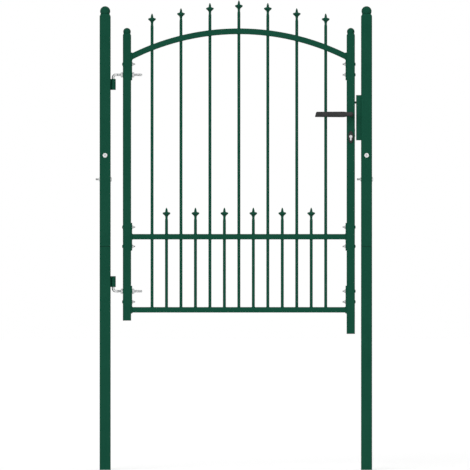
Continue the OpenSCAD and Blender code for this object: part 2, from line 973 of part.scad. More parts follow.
module lock_cylinder() {
    length = stile_side + 2 * (escutcheon_t + cylinder_proud);
    color(zinc)
        translate([lock_stile_x, length / 2, cylinder_z])
            rotate([90, 0, 0])
                linear_extrude(length)
                    cylinder_profile(0);
}

module lock_escutcheons() {
    color(black)
        translate([lock_stile_x, 0, cylinder_z])
            for (side = [0, 1])
                mirror([0, side, 0])
                    translate([0, -stile_side / 2, 0])
                        rotate([90, 0, 0])
                            escutcheon();
}

// Latch tongue with a bevel towards the front
module latch_bolt() {
    bevel = min(latch_throw, latch_width / 2);
    color(zinc)
        translate([lock_face_x + latch_throw - latch_length, 0, latch_z - latch_height / 2])
            linear_extrude(latch_height)
                polygon([
                    [0, -latch_width / 2],
                    [latch_length - bevel, -latch_width / 2],
                    [latch_length, bevel - latch_width / 2],
                    [latch_length, latch_width / 2],
                    [0, latch_width / 2]
                ]);
}

module front_lever() {
    color(black)
        translate([lock_stile_x, 0, spindle_z]) {
            lever();
            spindle();
        }
}

module back_lever() {
    color(black)
        translate([lock_stile_x, 0, spindle_z])
            difference() {
                mirror([0, 1, 0])
                    lever();
                spindle();
            }
}

hinge_post_lower();
hinge_post_upper();
hinge_post_cap();
latch_post_lower();
latch_post_upper();
latch_post_cap();
upper_hinge_barrel();
lower_hinge_barrel();
strike_box();
hinge_stile();
lock_stile();
hinge_stile_cap();
lock_stile_cap();
stile_plugs();
arch_rail();
middle_rail();
bottom_rail();
for (i = [1 : tall_count])
    tall_bar(i);
for (i = [1 : tall_count - 1])
    short_bar(i);
hinge_top_plate();
hinge_middle_plate();
hinge_bottom_plate();
lock_top_plate();
lock_middle_plate();
lock_bottom_plate();
upper_hinge_hook();
lower_hinge_hook();
hook_nuts();
lock_case();
dead_bolt();
lock_cylinder();
lock_escutcheons();
latch_bolt();
front_lever();
back_lever();
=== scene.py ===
import json

import bpy
import numpy as np
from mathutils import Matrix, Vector


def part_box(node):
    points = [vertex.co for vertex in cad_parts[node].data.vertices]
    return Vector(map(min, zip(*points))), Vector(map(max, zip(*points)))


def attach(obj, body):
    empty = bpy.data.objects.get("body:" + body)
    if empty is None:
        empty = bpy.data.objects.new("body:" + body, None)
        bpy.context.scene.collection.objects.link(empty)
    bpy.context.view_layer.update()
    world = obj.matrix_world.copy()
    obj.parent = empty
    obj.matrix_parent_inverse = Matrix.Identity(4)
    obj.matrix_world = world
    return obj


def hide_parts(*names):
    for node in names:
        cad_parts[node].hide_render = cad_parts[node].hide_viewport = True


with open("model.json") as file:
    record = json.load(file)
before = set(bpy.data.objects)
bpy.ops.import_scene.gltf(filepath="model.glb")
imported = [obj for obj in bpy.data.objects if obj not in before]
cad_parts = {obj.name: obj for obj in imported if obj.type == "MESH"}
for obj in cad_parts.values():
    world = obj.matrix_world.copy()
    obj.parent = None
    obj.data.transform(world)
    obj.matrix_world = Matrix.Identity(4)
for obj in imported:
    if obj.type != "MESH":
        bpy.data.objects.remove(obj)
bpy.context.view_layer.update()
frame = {"nodes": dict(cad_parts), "record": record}
scene = bpy.context.scene
mm = 0.001
print("gate loaded:", len(frame["nodes"]), "nodes")


def nodeBox(name):
    # lowest and highest corner of a node, in millimetres
    low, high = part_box(name)
    return np.array(low) / mm, np.array(high) / mm


def newMaterial(name):
    # a material, its shader and the coordinates of the object that wears it
    mat = bpy.data.materials.new(name)
    mat.use_nodes = True
    tree = mat.node_tree
    shader = tree.nodes["Principled BSDF"]
    coords = tree.nodes.new("ShaderNodeTexCoord").outputs["Object"]
    return mat, tree, shader, coords


noiseMiddle = (0.3, 0.7)  # most of a noise lies between these


def addNoise(tree, coords, scale, detail):
    noise = tree.nodes.new("ShaderNodeTexNoise")
    noise.inputs["Scale"].default_value = scale  # lumps per metre, about
    noise.inputs["Detail"].default_value = detail
    tree.links.new(coords, noise.inputs["Vector"])
    return noise.outputs["Fac"]


def addRange(tree, value, low, high):
    # stretches the middle of a noise over low to high
    span = tree.nodes.new("ShaderNodeMapRange")
    span.inputs["From Min"].default_value = noiseMiddle[0]
    span.inputs["From Max"].default_value = noiseMiddle[1]
    span.inputs["To Min"].default_value = low
    span.inputs["To Max"].default_value = high
    tree.links.new(value, span.inputs["Value"])
    return span.outputs["Result"]


def addBlend(tree, value, dark, light):
    # colour between two tints, by a noise
    ramp = tree.nodes.new("ShaderNodeValToRGB")
    for element, position, tint in zip(ramp.color_ramp.elements, noiseMiddle, (dark, light)):
        element.position = position
        element.color = (*tint, 1)
    tree.links.new(value, ramp.inputs["Fac"])
    return ramp.outputs["Color"]


def addBump(tree, shader, height, strength, depth):
    bump = tree.nodes.new("ShaderNodeBump")
    bump.inputs["Strength"].default_value = strength
    bump.inputs["Distance"].default_value = depth
    tree.links.new(height, bump.inputs["Height"])
    tree.links.new(bump.outputs["Normal"], shader.inputs["Normal"])


coat = {
    "dark": (0.0060, 0.0628, 0.0364),
    "light": (0.0078, 0.0705, 0.0412),
    "patch": 9,  # patches of thicker and thinner coat, per metre
    "speckle": 103.333,  # spots of more and less gloss, per metre
    "peel": 620,  # orange peel, lumps per metre
    "peelStrength": 0.35,
    "peelDepth": 0.0007,
    "gloss": (0.42, 0.54),
    "specular": 0.06,
}


def powderCoat():
    # satin green in two near tints, with orange peel
    mat, tree, shader, coords = newMaterial("green_powder_coat")
    patches = addNoise(tree, coords, coat["patch"], 3)
    tint = addBlend(tree, patches, coat["dark"], coat["light"])
    tree.links.new(tint, shader.inputs["Base Color"])
    speckle = addNoise(tree, coords, coat["speckle"], 2)
    tree.links.new(addRange(tree, speckle, *coat["gloss"]), shader.inputs["Roughness"])
    shader.inputs["Specular IOR Level"].default_value = coat["specular"]
    peel = addNoise(tree, coords, coat["peel"], 2)
    addBump(tree, shader, peel, coat["peelStrength"], coat["peelDepth"])
    return mat


zinc = {
    "hooks": ((0.65, 0.655, 0.66), (0.81, 0.815, 0.815)),  # darkest and lightest crystals
    "nuts": ((0.54, 0.55, 0.555), (0.68, 0.685, 0.685)),
    "bolts": ((0.55, 0.56, 0.56), (0.69, 0.695, 0.695)),
    "bright": ((0.66, 0.67, 0.67), (0.80, 0.805, 0.805)),
    "brightest": ((0.80, 0.81, 0.81), (0.90, 0.905, 0.905)),
    "spangle": 320,  # crystals per metre
    "gloss": (0.28, 0.44),
    "grain": 1800,
    "grainStrength": 0.15,
    "grainDepth": 0.0001,
}


def zincPlate(name, tints):
    # zinc coat in crystals, each a little lighter or darker than the next
    mat, tree, shader, coords = newMaterial(name)
    cells = tree.nodes.new("ShaderNodeTexVoronoi")
    cells.inputs["Scale"].default_value = zinc["spangle"]
    tree.links.new(coords, cells.inputs["Vector"])
    split = tree.nodes.new("ShaderNodeSeparateColor")
    tree.links.new(cells.outputs["Color"], split.inputs["Color"])
    tint = addBlend(tree, split.outputs["Red"], *tints)
    tree.links.new(tint, shader.inputs["Base Color"])
    gloss = addRange(tree, split.outputs["Green"], *zinc["gloss"])
    tree.links.new(gloss, shader.inputs["Roughness"])
    shader.inputs["Metallic"].default_value = 1
    grain = addNoise(tree, coords, zinc["grain"], 3)
    addBump(tree, shader, grain, zinc["grainStrength"], zinc["grainDepth"])
    return mat


plastic = {
    "dark": (0.036, 0.037, 0.037),
    "light": (0.046, 0.047, 0.047),
    "patch": 40,
    "grain": 1500,  # moulded grain, lumps per metre
    "grainStrength": 0.12,
    "grainDepth": 0.00012,
    "gloss": (0.36, 0.48),
    "specular": 0.08,
}
# near-black finish for the ring in each post's seam: painted shade that stands in for the
# shadow in the gap between the two sections, not a real part
seamShadowFinish = {
    "dark": (0.003, 0.003, 0.003),
    "light": (0.005, 0.005, 0.005),
    "patch": 60,
    "grain": 2200,
    "grainStrength": 0.1,
    "grainDepth": 0.0001,
    "gloss": (0.6, 0.75),
    "specular": 0.03,
}


def moulded(name, finish):
    # grained surface in patches of two near tints
    mat, tree, shader, coords = newMaterial(name)
    patches = addNoise(tree, coords, finish["patch"], 3)
    tint = addBlend(tree, patches, finish["dark"], finish["light"])
    tree.links.new(tint, shader.inputs["Base Color"])
    tree.links.new(addRange(tree, patches, *finish["gloss"]), shader.inputs["Roughness"])
    shader.inputs["Specular IOR Level"].default_value = finish["specular"]
    grain = addNoise(tree, coords, finish["grain"], 2)
    addBump(tree, shader, grain, finish["grainStrength"], finish["grainDepth"])
    return mat


greenCoat = powderCoat()
hookZinc = zincPlate("galvanised_steel", zinc["hooks"])
nutZinc = zincPlate("zinc_plated_nuts", zinc["nuts"])
boltZinc = zincPlate("grey_zinc", zinc["bolts"])
brightZinc = zincPlate("bright_zinc", zinc["bright"])
postNutZinc = zincPlate("brightest_zinc", zinc["brightest"])
blackPlastic = moulded("black_moulded_plastic", plastic)
# painted shade: near-black material for the shadow in the post seams
seamShadowBlack = moulded("painted_seam_shadow", seamShadowFinish)
slotMaterials = {
    "green_paint": greenCoat,
    "zinc_steel": hookZinc,
    "black_plastic": blackPlastic,
}
for part in frame["record"]["subparts"]:
    obj = frame["nodes"][part["node"]]
    obj.data.materials.clear()
    obj.data.materials.append(slotMaterials[part["material_slot"]])


def ringFaces(rings, segments, loop):
    # quads between neighbouring rings; a loop joins the last ring to the first, and otherwise
    # one flat face closes each end
    i = np.arange(rings if loop else rings - 1)[:, None]
    j = np.arange(segments)[None, :]
    near, far = i * segments, (i + 1) % rings * segments
    turn = (j + 1) % segments
    quads = np.stack([near + j, near + turn, far + turn, far + j], -1).reshape(-1, 4)
    around = np.arange(segments)
    caps = [] if loop else [around[::-1], around + (rings - 1) * segments]
    return quads, caps


def insideOut(rings, loop):
    # sign of the volume: sum of p0 . (p1 x p2) over the triangles of the surface
    ahead = np.roll(rings, -1, 0) if loop else rings[1:]
    base = rings if loop else rings[:-1]
    a, b = base, np.roll(base, -1, 1)
    c, d = np.roll(ahead, -1, 1), ahead
    volume = np.sum(a * np.cross(b, c)) + np.sum(a * np.cross(c, d))
    if not loop:
        for ring, sign in ((rings[0], -1), (rings[-1], 1)):
            volume += sign * np.sum(ring[0] * np.cross(ring[1:-1], ring[2:]))
    return volume < 0


def shell(rings, loop=False):
    # one closed surface from an array of rings, with its faces outwards
    if insideOut(rings, loop):
        rings = rings[:, ::-1]
    return (rings.reshape(-1, 3), *ringFaces(rings.shape[0], rings.shape[1], loop))


def makePiece(name, shells, body, material, crease=35):
    # joins closed surfaces, in millimetres, into one piece that rides on a body
    starts = np.cumsum([0] + [len(points) for points, quads, caps in shells])
    points = np.concatenate([points for points, quads, caps in shells]) * mm
    faces, ends = [], []
    for (own, quads, caps), start in zip(shells, starts):
        faces += (quads + start).tolist()
        ends += [(cap + start).tolist() for cap in caps]
    mesh = bpy.data.meshes.new(name)
    mesh.from_pydata(points.tolist(), [], faces + ends)
    mesh.shade_smooth()
    mesh.set_sharp_from_angle(angle=np.radians(crease))
    mesh.materials.append(material)
    obj = bpy.data.objects.new(name, mesh)
    scene.collection.objects.link(obj)
    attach(obj, body)
    print("made", name, "with", len(mesh.polygons), "faces")
    return obj


def fullTurn(segments):
    # even angles once round
    return np.linspace(0, 2 * np.pi, segments, endpoint=False)


def ringsOf(radius, height, angle):
    # circles of a given radius at each height, as points
    x, y = radius * np.cos(angle), radius * np.sin(angle)
    return np.stack([x, y, np.broadcast_to(height[:, None], x.shape)], -1)


def turned(profile, segments=48):
    # a profile of (radius, height) pairs turned about the height
    radius, height = np.array(profile, float).T
    return ringsOf(radius[:, None] * np.ones(segments), height, fullTurn(segments))


def place(rings, origin, axis):
    # sets local height along an axis of the gate, such as "-x", from an origin
    sign = -1 if axis[0] == "-" else 1
    across = {"x": (1, 2, 0), "y": (2, 0, 1), "z": (0, 1, 2)}[axis[-1]]
    out = np.empty_like(rings)
    for source, target in enumerate(across):
        out[..., target] = rings[..., source] * (sign if source == 2 else 1)
    return out + np.array(origin, float)


threadForm = {
    "flank": 2.6,  # steepness of the flanks
    "flat": 0.15,  # more makes the crest wider
    "deep": 0.6,  # from crest to root, in pitches
    "endBevel": 0.25,  # the bolt's end is this much narrower than the root, in pitches
    "steps": 8,  # rings in a turn
}


def threadDepth(share):
    # 0 on the crest and 1 at the root, from the share of a turn
    return np.clip(np.abs(share % 1 - 0.5) * threadForm["flank"] - threadForm["flat"], 0, 1)


def threaded(radius, pitch, length, segments=32):
    # rod with a helical thread: the radius rises from root to crest as the share of a turn
    # (height over pitch, less the angle) leaves the nearest whole number; the end is tapered
    root = radius - threadForm["deep"] * pitch
    end = root - threadForm["endBevel"] * pitch
    height = np.linspace(0, length, int(np.ceil(length * threadForm["steps"] / pitch)) + 1)
    angle = fullTurn(segments)
    depth = threadDepth(height[:, None] / pitch - angle / (2 * np.pi))
    r = radius - (radius - root) * depth
    taper = np.minimum(1, (length - height) / pitch)[:, None]
    return ringsOf(np.minimum(r, end + (radius - end) * taper), height, angle)


nutForm = {
    "bevel": 0.06,  # height of a bevelled end, in widths across the flats
    "end": 0.95,  # diameter of its flat face, in the same widths
    "bevelAngle": 30,
    "bevelRings": 5,
    "flangeRim": [(-0.3, 0.0), (0.0, 0.3), (0.0, 1.1), (-0.4, 1.4)],  # from its edge, height
    "flangeSlope": 0.9,  # height from the rim to the hexagon
}


def hexNut(flats, thick, angleShift=0.0, flange=0.0, segments=72):
    # hexagon with both ends bevelled: the radius is that of the hexagon or of the bevel's cone,
    # whichever is less; a flange is a flat cone round its foot
    angle, foot = fullTurn(segments), nutForm["bevelRings"]
    inFlat = (angle + angleShift) % (np.pi / 3) - np.pi / 6
    hexagon = flats / 2 / np.cos(inFlat)
    fromEnd = np.linspace(0, flats * nutForm["bevel"], foot)
    depth = np.concatenate([fromEnd, fromEnd[::-1]])
    height = np.concatenate([fromEnd, thick - fromEnd[::-1]])
    steep = np.tan(np.radians(nutForm["bevelAngle"]))
    r = np.minimum(hexagon, flats / 2 * nutForm["end"] + depth[:, None] / steep)
    if flange:
        rim = np.array(nutForm["flangeRim"]) + [flange, 0]
        slope = np.linspace(0, 1, 4)[1:, None]
        slopeR = rim[-1, 0] * (1 - slope) + hexagon * slope
        slopeH = rim[-1, 1] + nutForm["flangeSlope"] * slope[:, 0]
        r = np.concatenate([np.repeat(rim[:, :1], segments, 1), slopeR, r[foot:]])
        height = np.concatenate([rim[:, 1], slopeH, height[foot:]])
    return ringsOf(r, height, angle)


headForm = {
    "rim": 0.18,  # upright rim, as a share of the rise
    "crown": 0.03,  # flat crown, as a share of the radius
}


def domeHead(radius, rise, segments=48):
    # quarter of an ellipse turned about the bolt, over a short upright rim
    t = np.linspace(0, np.pi / 2, 14)[:-1]
    rim = headForm["rim"] * rise
    r = np.concatenate([[radius], radius * np.cos(t), [headForm["crown"] * radius]])
    h = np.concatenate([[0], rim + (rise - rim) * np.sin(t), [rise]])
    return turned(np.stack([r, h], -1), segments)


postBolt = {
    "frontZ": 1154.7,  # bolt from front to back
    "sideZ": 1067.0,  # bolt from side to side
    "flats": 13.0,
    "nut": 5.0,
    "flange": 8.3,
    "end": 15.0,  # from the post's face to the end of the thread
    "radius": 4.0,
    "pitch": 1.25,
    "head": 9.6,
    "headRise": 4.6,
}


def postBoltShells(origin, reach, axis):
    # thread and nut towards the front or the hinge side, dome head on the other face
    away = np.array({"x": (1, 0, 0), "y": (0, 1, 0)}[axis]) * reach
    thread = threaded(postBolt["radius"], postBolt["pitch"], postBolt["end"] + reach)
    nut = hexNut(postBolt["flats"], postBolt["nut"], flange=postBolt["flange"])
    head = domeHead(postBolt["head"], postBolt["headRise"])
    bolt = [shell(place(thread, origin, "-" + axis)), shell(place(head, origin + away, axis))]
    return bolt, shell(place(nut, origin - away, "-" + axis))


boltShells, nutShells = [], []
for post in ("hinge_post_upper", "latch_post_upper"):
    low, high = nodeBox(post)
    middle, reach = (low + high) / 2, (high[0] - low[0]) / 2
    for axis, z in (("y", postBolt["frontZ"]), ("x", postBolt["sideZ"])):
        bolt, nut = postBoltShells(np.array([middle[0], 0, z]), reach, axis)
        boltShells += bolt
        nutShells.append(nut)
makePiece("post_bolts", boltShells, "posts", boltZinc)
makePiece("post_nuts", nutShells, "posts", postNutZinc)

plateBolt = {
    "flats": 10.0,
    "nut": 6.0,
    "flange": 7.5,
    "end": 11.2,  # from the plate to the end of the thread
    "radius": 3.0,
    "pitch": 1.0,
    "head": 6.3,
    "headRise": 3.0,
    "inset": 59.0,  # from the free end of a plate
    "hookInset": 20.0,
    "spacing": 71.0,  # of the two in a middle plate
    "threadSides": 24,
    "headSides": 40,
}


def plateBoltHeights(side):
    # two bolts in the middle plate and one in each other plate; the lock side has one more
    # where the hinge side has its hook
    top, bottom = nodeBox(side + "_top_plate"), nodeBox(side + "_bottom_plate")
    middle = nodeBox(side + "_middle_plate")
    centre = (middle[0][2] + middle[1][2]) / 2
    heights = [top[0][2] + plateBolt["inset"], bottom[1][2] - plateBolt["inset"],
               centre - plateBolt["spacing"] / 2, centre + plateBolt["spacing"] / 2]
    if side == "lock":
        heights += [top[0][2] + plateBolt["hookInset"], bottom[1][2] - plateBolt["hookInset"]]
    return heights


threadShells, headShells = [], []
for side, inward, outward in (("hinge", "x", "-x"), ("lock", "-x", "x")):
    stileLow, stileHigh = nodeBox(side + "_stile")
    plateLow, plateHigh = nodeBox(side + "_top_plate")
    outerX, innerX = stileLow[0], plateHigh[0]
    if side == "lock":
        outerX, innerX = stileHigh[0], plateLow[0]
    length = abs(innerX - outerX) + plateBolt["end"]
    thread = threaded(plateBolt["radius"], plateBolt["pitch"], length, plateBolt["threadSides"])
    nut = hexNut(plateBolt["flats"], plateBolt["nut"], flange=plateBolt["flange"])
    head = domeHead(plateBolt["head"], plateBolt["headRise"], plateBolt["headSides"])
    for z in plateBoltHeights(side):
        threadShells.append(shell(place(thread, (outerX, 0, z), inward)))
        threadShells.append(shell(place(nut, (innerX, 0, z), inward)))
        headShells.append(shell(place(head, (outerX, 0, z), outward)))
makePiece("plate_bolts", threadShells, "leaf", nutZinc)
makePiece("plate_bolt_heads", headShells, "leaf", greenCoat)

hook = {
    "radius": 5.0,
    "bend": 10.0,
    "pitch": 1.5,
    "root": 0.82,  # thread depth
    "threadFrom": 14.0,  # from the pin's axis
    "pinBevel": (1.3, 1.2),  # depth and height
    "rodBevel": 1.6,
    "flats": 17.0,
    "nut": 8.0,
}


def hookRings(node, pinDown):
    # circle carried along pin, bend and rod; on the rod its radius follows the thread's helix
    low, high = nodeBox(node)
    rad, bend, pitch = hook["radius"], hook["bend"], hook["pitch"]
    axisX = low[0] + rad
    rodZ = high[2] - rad if pinDown else low[2] + rad
    pin = rodZ - low[2] if pinDown else high[2] - rodZ  # its length from the rod's axis
    sign = 1 if pinDown else -1
    bevel, bevelH = hook["pinBevel"]
    pinH = np.concatenate([[0], np.linspace(bevelH, pin - bend, 9)])
    arc = np.linspace(0, np.pi / 2, 20)[1:]
    rodEnd, step = high[0] - axisX, pitch / threadForm["steps"]
    rodX = np.append(np.arange(bend + step, rodEnd, step), rodEnd)
    x = np.concatenate([np.zeros_like(pinH), bend - bend * np.cos(arc), rodX])
    z = np.concatenate([pinH - pin, bend * np.sin(arc) - bend, np.zeros_like(rodX)])
    tilt = np.concatenate([np.zeros_like(pinH), arc, np.full_like(rodX, np.pi / 2)])[:, None]
    angle = fullTurn(32)
    depth = threadDepth(x[:, None] / pitch - sign * angle / (2 * np.pi)) * hook["root"]
    r = rad - depth * np.clip((x - hook["threadFrom"]) / pitch, 0, 1)[:, None]
    r[0] = rad - bevel
    toEnd = np.clip((x[-1] - x) / pitch, 0, 1)[:, None]
    r = np.minimum(r, rad - hook["rodBevel"] * (1 - toEnd))
    lift = r * np.cos(angle)
    ringX = x[:, None] - lift * np.cos(tilt)
    ringZ = z[:, None] + lift * np.sin(tilt)
    return np.stack([axisX + ringX, r * np.sin(angle), rodZ + sign * ringZ], -1)


for name, pinDown in (("upper", True), ("lower", False)):
    node = name + "_hinge_hook"
    rings = hookRings(node, pinDown)
    piece = makePiece(name + "_hook", [shell(rings)], "leaf", hookZinc)
    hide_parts(node)

nutLow, nutHigh = nodeBox("hook_nuts")
corner = hook["flats"] / np.sqrt(3)
nut = hexNut(hook["flats"], hook["nut"], np.pi / 6)
nutShells = [shell(place(nut, (x, 0, z), "x"))
             for z in (nutLow[2] + corner, nutHigh[2] - corner)
             for x in (nutLow[0], nutHigh[0] - hook["nut"])]
hingeNuts = makePiece("hinge_nuts", nutShells, "leaf", nutZinc)
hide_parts("hook_nuts")

lever = {
    "height": 18.8,  # at the shoulder
    "tipHeight": 17.6,
    "thick": 12.0,
    "tipRound": 2.4,
    "slant": 4.4,  # the upper edge ends this much before the lower one
    "slantFrom": 80.0,  # the ovals lean from here to the tip
    "hub": 13.4,  # height at the spindle
    "hubThick": 0.55,  # share of the thickness that is left at the hub's end
    "shoulder": (4.0, 30.0),  # the grip gains its full height between these
    "square": 2.15,  # 2 is an oval section, more is squarer
    "neck": 6.25,  # radius
    "neckWaist": 0.35,  # it is this much thinner half way
    "neckEnd": 8.0,  # and full again this far from the middle of the grip
    "fillet": [(0.9, 0.15), (0.3, 0.8), (0.0, 2.0)],  # out from the neck, up from the collar
    "collar": 9.25,  # radius
    "collarThick": 3.0,
    "collarFoot": [(0.5, 0.0), (0.0, 0.5)],  # in from its edge, up from its foot
    "collarTop": [(0.0, 0.8), (0.3, 0.25), (0.9, 0.0)],  # in from its edge, down from its top
    "gap": 0.6,  # between collar and leaf
    "spindle": 3.5,  # half its side
    "spindlePast": 8.0,  # past both faces of the leaf
}


def smooth(t):
    # eased step: three times the square less twice the cube
    t = np.clip(t, 0, 1)
    return t * t * (3 - 2 * t)


def gripRings(tip, midY, axisX, axisZ):
    # squared ovals carried along X; their height grows from the hub to the grip, both ends are
    # drawn in along quarter circles, and towards the tip the ovals lean
    halfH, halfT, tipH = lever["height"] / 2, lever["thick"] / 2, lever["tipHeight"] / 2
    hub, tipRound = lever["hub"] / 2, lever["tipRound"]
    start, full = lever["shoulder"]
    t = np.linspace(0, np.pi / 2, 14)
    grip = np.linspace(tip + tipRound, 0, 46)[1:-1]
    x = np.concatenate([tip + tipRound * (1 - np.cos(t)), grip, hub * np.sin(t)])
    fromTip = np.clip((x - tip) / tipRound, 0, 1)
    tipShrink = tipRound * (1 - np.sqrt(1 - (1 - fromTip) ** 2))
    smallest = 0.0004  # keeps the last oval open
    hubEnd = np.sqrt(np.clip(1 - (np.clip(x, 0, None) / hub) ** 2, smallest, 1))
    grow = smooth((-x - start) / (full - start))
    gripH = np.interp(x, [tip, -full], [tipH, halfH])
    height = (hub + (gripH - hub) * grow) * hubEnd - tipShrink
    thick = halfT * (lever["hubThick"] + (1 - lever["hubThick"]) * hubEnd) - tipShrink
    angle = fullTurn(48)
    power = 2 / lever["square"]
    z = height[:, None] * np.sign(np.sin(angle)) * np.abs(np.sin(angle)) ** power
    y = thick[:, None] * np.sign(np.cos(angle)) * np.abs(np.cos(angle)) ** power
    toTip = smooth((-x - lever["slantFrom"]) / (-tip - lever["slantFrom"]))
    lean = lever["slant"] / 2 * toTip[:, None]
    return np.stack([axisX + x[:, None] + lean * z / halfH, midY + y, axisZ + z], -1)


def neckProfile(reach):
    # (radius, height) pairs from the collar's foot to the middle of the grip
    collar, neck, thick = lever["collar"], lever["neck"], lever["collarThick"]
    foot = [(collar - inset, rise) for inset, rise in lever["collarFoot"]]
    top = [(collar - inset, thick - drop) for inset, drop in lever["collarTop"]]
    fillet = [(neck + out, thick + rise) for out, rise in lever["fillet"]]
    waist = (neck - lever["neckWaist"], reach / 2)
    return foot + top + fillet + [waist, (neck, reach - lever["neckEnd"]), (neck, reach)]


def leverShells(node, front):
    # grip, a neck turned about the spindle and, on the front lever, the square spindle
    low, high = nodeBox(node)
    stileLow, stileHigh = nodeBox("lock_stile")
    axisX, axisZ = (stileLow[0] + stileHigh[0]) / 2, (low[2] + high[2]) / 2
    out = -1 if front else 1
    midY = (low[1] if front else high[1]) - out * lever["thick"] / 2
    tip = low[0] - axisX + lever["slant"] / 2
    foot = (stileLow[1] if front else stileHigh[1]) + out * lever["gap"]
    neck = turned(neckProfile(abs(midY - foot)))
    shells = [shell(gripRings(tip, midY, axisX, axisZ)),
              shell(place(neck, (axisX, foot, axisZ), "-y" if front else "y"))]
    if front:
        x = axisX + lever["spindle"] * np.array([-1, 1, 1, -1])
        z = axisZ + lever["spindle"] * np.array([-1, -1, 1, 1])
        ends = stileLow[1] - lever["spindlePast"], stileHigh[1] + lever["spindlePast"]
        rod = [np.stack([x, np.full(4, end), z], -1) for end in ends]
        shells.append(shell(np.stack(rod)))
    return shells


for side in ("front", "back"):
    shells = leverShells(side + "_lever", side == "front")
    piece = makePiece(side + "_handle", shells, "levers", blackPlastic)
    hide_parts(side + "_lever")

rosette = {
    "end": 5.5,  # radius of the oval's tight ends
    "steps": [(0.0, 0.0), (0.0, 1.8), (0.2, 2.8), (0.7, 3.8),
              (1.5, 4.5), (2.6, 4.9), (3.8, 5.0), (5.0, 5.0)],  # inset, rise
}


def ovalLine(width, height, inset):
    # oval of four arcs that meet without a corner; an inset makes every radius shorter
    end = rosette["end"]
    flat, rise = width / 2 - end, height / 2 - end
    shift = (rise ** 2 - flat ** 2) / (2 * flat)
    sideR, endR = shift + width / 2 - inset, end - inset
    phi = np.arctan2(rise, shift)
    side = np.linspace(-phi, phi, 30, endpoint=False)
    top = np.linspace(phi, np.pi - phi, 24, endpoint=False)
    x = np.concatenate([sideR * np.cos(side) - shift, endR * np.cos(top)])
    z = np.concatenate([sideR * np.sin(side), rise + endR * np.sin(top)])
    return np.concatenate([x, -x]), np.concatenate([z, -z])


def rosetteRings(front):
    # the oval drawn in step by step while it rises from the stile
    low, high = nodeBox("lock_escutcheons")
    stileLow, stileHigh = nodeBox("lock_stile")
    face, out = (stileLow[1], -1) if front else (stileHigh[1], 1)
    mid, size = (low + high) / 2, high - low
    rings = []
    for inset, rise in rosette["steps"]:
        x, z = ovalLine(size[0], size[2], inset)
        rings.append(np.stack([mid[0] + x, np.full_like(x, face + out * rise), mid[2] + z], -1))
    return np.stack(rings)


rosetteShells = [shell(rosetteRings(front)) for front in (True, False)]
rosettes = makePiece("key_rosettes", rosetteShells, "leaf", blackPlastic)
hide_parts("lock_escutcheons")

keyCylinder = {
    "round": 5.8,  # radius of the round part
    "tongue": 2.7,  # half width of the part below it
    "bevel": 0.5,
    "plug": 4.3,  # radius of the plug that turns
    "plugRise": 0.35,
    "slot": (0.7, 3.1),  # half width and half height of the key's slot
    "slotDeep": 3.0,
}


def profileLine(drop, count=60):
    # the cylinder's outline: most of a circle, two straight sides and a half circle below
    radius, half = keyCylinder["round"], keyCylinder["tongue"]
    meet = np.arccos(half / radius)
    top = np.linspace(-meet, np.pi + meet, count)
    foot = np.linspace(np.pi, 2 * np.pi, count // 2)
    sideZ = np.linspace(-radius * np.sin(meet), -drop, 8)[1:-1]
    sideX = np.full_like(sideZ, half)
    x = np.concatenate([radius * np.cos(top), -sideX, half * np.cos(foot), sideX])
    z = np.concatenate([radius * np.sin(top), sideZ, half * np.sin(foot) - drop, sideZ[::-1]])
    return x, z


slotForm = {
    "ends": 0.35,  # less makes the slot's ends squarer
    "sunk": 0.4,  # the disc's foot lies this far below the face
    "edge": 0.12,  # bevel round the disc
}


def slottedDisc(radius, rise, slot, deep, turn=0.0, count=64):
    # outlines that go from a circle to a narrow slot across the face, then down into the slot
    t = fullTurn(count)
    circle = np.stack([np.cos(t), np.sin(t)], -1)
    line = np.sign(circle) * np.abs(circle) ** slotForm["ends"] * np.array([slot[1], slot[0]])
    line = line @ np.array([[np.cos(turn), np.sin(turn)], [-np.sin(turn), np.cos(turn)]])
    edge = slotForm["edge"]
    steps = [(circle * radius, -slotForm["sunk"]), (circle * radius, rise - edge),
             (circle * (radius - edge), rise), ((circle * radius + line) / 2, rise),
             (line, rise), (line, rise - deep)]
    return np.stack([np.concatenate([ring, np.full((count, 1), h)], 1) for ring, h in steps])


def cylinderShells():
    # the outline carried from front to back with both edges bevelled, and a slotted plug on
    # each face
    low, high = nodeBox("lock_cylinder")
    tall, bevel = high[2] - low[2], keyCylinder["bevel"]
    axisX, axisZ = (low[0] + high[0]) / 2, high[2] - keyCylinder["round"]
    x, z = profileLine(tall - keyCylinder["round"] - keyCylinder["tongue"])
    midZ = (low[2] + high[2]) / 2 - axisZ
    inX = x * (1 - bevel / keyCylinder["round"])
    inZ = midZ + (z - midZ) * (1 - 2 * bevel / tall)
    steps = ((inX, inZ, low[1]), (x, z, low[1] + bevel),
             (x, z, high[1] - bevel), (inX, inZ, high[1]))
    body = [np.stack([axisX + px, np.full_like(px, y), axisZ + pz], -1) for px, pz, y in steps]
    disc = slottedDisc(keyCylinder["plug"], keyCylinder["plugRise"],
                       keyCylinder["slot"], keyCylinder["slotDeep"])
    plugs = [shell(place(disc, (axisX, face, axisZ), axis))
             for face, axis in ((low[1], "-y"), (high[1], "y"))]
    return [shell(np.stack(body))] + plugs


lockCylinder = makePiece("key_cylinder", cylinderShells(), "leaf", brightZinc)
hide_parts("lock_cylinder")

faceScrew = {
    "radius": 3.4,
    "rise": 0.15,
    "slot": (0.5, 3.0),
    "deep": 1.1,
    "inset": 8.5,  # from the ends of the face plate
    "turns": (0.5, 1.2),  # how far the upper and the lower one are turned
}
caseLow, caseHigh = nodeBox("lock_case")
screwZ = caseHigh[2] - faceScrew["inset"], caseLow[2] + faceScrew["inset"]
screwShells = []
for z, turn in zip(screwZ, faceScrew["turns"]):
    disc = slottedDisc(faceScrew["radius"], faceScrew["rise"],
                       faceScrew["slot"], faceScrew["deep"], turn)
    screwShells.append(shell(place(disc, (caseHigh[0], 0, z), "x")))
makePiece("lock_face_screws", screwShells, "leaf", nutZinc)

